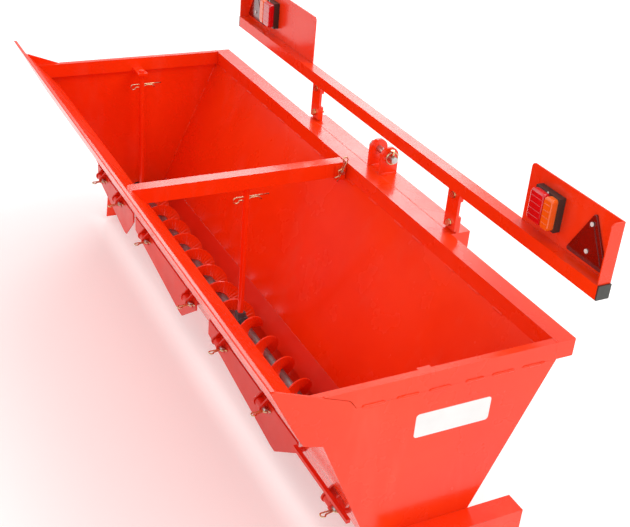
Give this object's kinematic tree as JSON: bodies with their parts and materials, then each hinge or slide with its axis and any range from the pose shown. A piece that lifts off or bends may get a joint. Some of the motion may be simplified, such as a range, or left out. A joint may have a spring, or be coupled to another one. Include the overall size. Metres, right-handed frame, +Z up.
{
  "type": "drop salt spreader",
  "caption": "Three-point mounted drop salt spreader with a self-loading hopper, screw agitator, hinged discharge flaps, hitch frame and light bar.",
  "frame": {"origin": "centre of the bounding box on the floor plane, under the skids", "axes": "+X along the hopper, away from the drive end; +Y toward the tractor; +Z up"},
  "size_m": [2.188, 0.797, 0.9185],
  "materials": {
    "paint": "gloss",
    "paint_flaps": "gloss",
    "zinc": "zinc plated",
    "yellow_zinc": "yellow zinc plated",
    "steel": "turned, slightly worn",
    "cast": "satin",
    "black_plastic": "moulded",
    "lens_red": "clear lens",
    "lens_amber": "clear lens",
    "reflector": "prismatic",
    "rivet": "moulded"
  },
  "bodies": {
    "hopper": {"end_plate_near": "paint", "end_plate_far": "paint", "front_wall": "paint", "rear_wall": "paint", "trough": "paint_flaps", "rim_front": "paint", "rim_near": "paint", "rim_far": "paint", "loading_lip": "paint", "crossbar": "paint", "crossbar_bracket": "paint", "crossbar_pin": "zinc", "crossbar_clip": "yellow_zinc", "hanger_rods": "paint", "hanger_bearings": "cast", "hanger_clips": "yellow_zinc", "hanger_lugs": "paint", "end_bearing": "cast", "drive_plate": "paint", "drive_motor": "cast", "hitch_beam": "paint", "hitch_posts": "paint", "hitch_crosstube": "paint", "hitch_struts": "paint", "lower_pin_left": "zinc", "lower_pin_right": "zinc", "top_ears": "paint", "top_pin": "zinc", "linchpin": "yellow_zinc", "light_bar": "paint", "bar_end_caps": "black_plastic", "bar_uprights": "paint", "upright_lugs": "paint", "upright_bolts": "yellow_zinc", "lamp_board_near": "paint", "lamp_board_far": "paint", "lamp_housings": "black_plastic", "lamp_lens_red": "lens_red", "lamp_lens_amber": "lens_amber", "reflectors": "reflector", "reflector_rivets": "rivet", "hinge_rail": "paint_flaps", "flap_pins": "zinc", "flap_clips": "yellow_zinc", "foot_tubes": "paint", "skids": "steel"},
    "agitator": {"auger_shaft": "steel", "auger_flight_far": "paint", "auger_flight_near": "paint", "drive_coupling": "steel"},
    "flap_far_body": {"flap_far": "paint_flaps"},
    "flap_mid_body": {"flap_mid": "paint_flaps"},
    "flap_near_body": {"flap_near": "paint_flaps"},
    "linch_ring": {"linchpin_ring": "yellow_zinc"}
  },
  "joints": [
    {"name": "agitator_turn", "type": "hinge", "parent": "hopper", "child": "agitator", "pos_m": [0.039, -0.0065, 0.12], "axis": [1, 0, 0], "continuous": true},
    {"name": "flap_far_hinge", "type": "hinge", "parent": "hopper", "child": "flap_far_body", "pos_m": [-0.767, -0.1715, 0.22], "axis": [-1, 0, 0], "range_deg": [0, 75]},
    {"name": "flap_mid_hinge", "type": "hinge", "parent": "hopper", "child": "flap_mid_body", "pos_m": [-0.193, -0.1715, 0.22], "axis": [-1, 0, 0], "range_deg": [0, 75]},
    {"name": "flap_near_hinge", "type": "hinge", "parent": "hopper", "child": "flap_near_body", "pos_m": [0.394, -0.1715, 0.22], "axis": [-1, 0, 0], "range_deg": [0, 75]},
    {"name": "ring_swing", "type": "hinge", "parent": "hopper", "child": "linch_ring", "pos_m": [0.168, 0.3695, 0.6885], "axis": [0, -1, 0], "range_deg": [0, 120]}
  ]
}
